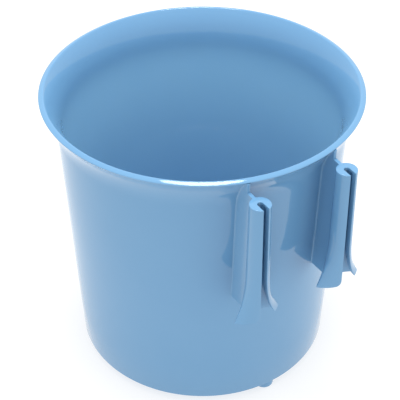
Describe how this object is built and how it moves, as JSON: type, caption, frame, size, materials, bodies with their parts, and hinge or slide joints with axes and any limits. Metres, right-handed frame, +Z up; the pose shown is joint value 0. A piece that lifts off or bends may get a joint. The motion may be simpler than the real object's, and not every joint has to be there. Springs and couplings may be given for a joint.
{
  "type": "feed bucket",
  "caption": "Round flared feed bucket of thick moulded plastic, with slotted hanging clips on ribs at one side and short feet underneath.",
  "frame": {"origin": "point on the tub's own axis at the level of the feet's undersides, which is the floor when the bucket stands", "axes": "+Z up along the tub's axis; the hanging clips face -Y; +X to the right when facing the clips"},
  "size_m": [0.2999, 0.3205, 0.2901],
  "materials": {
    "shell": "glossy injection-moulded polypropylene, light blue",
    "rib": "glossy injection-moulded polypropylene, light blue",
    "clip": "glossy injection-moulded polypropylene, light blue",
    "foot": "injection-moulded polypropylene, light blue, a little duller where it stands"
  },
  "bodies": {
    "root": {"bucket_shell": "shell", "left_rib": "rib", "right_rib": "rib", "left_clip": "clip", "right_clip": "clip", "front_foot": "foot", "left_foot": "foot", "right_foot": "foot"}
  },
  "joints": []
}
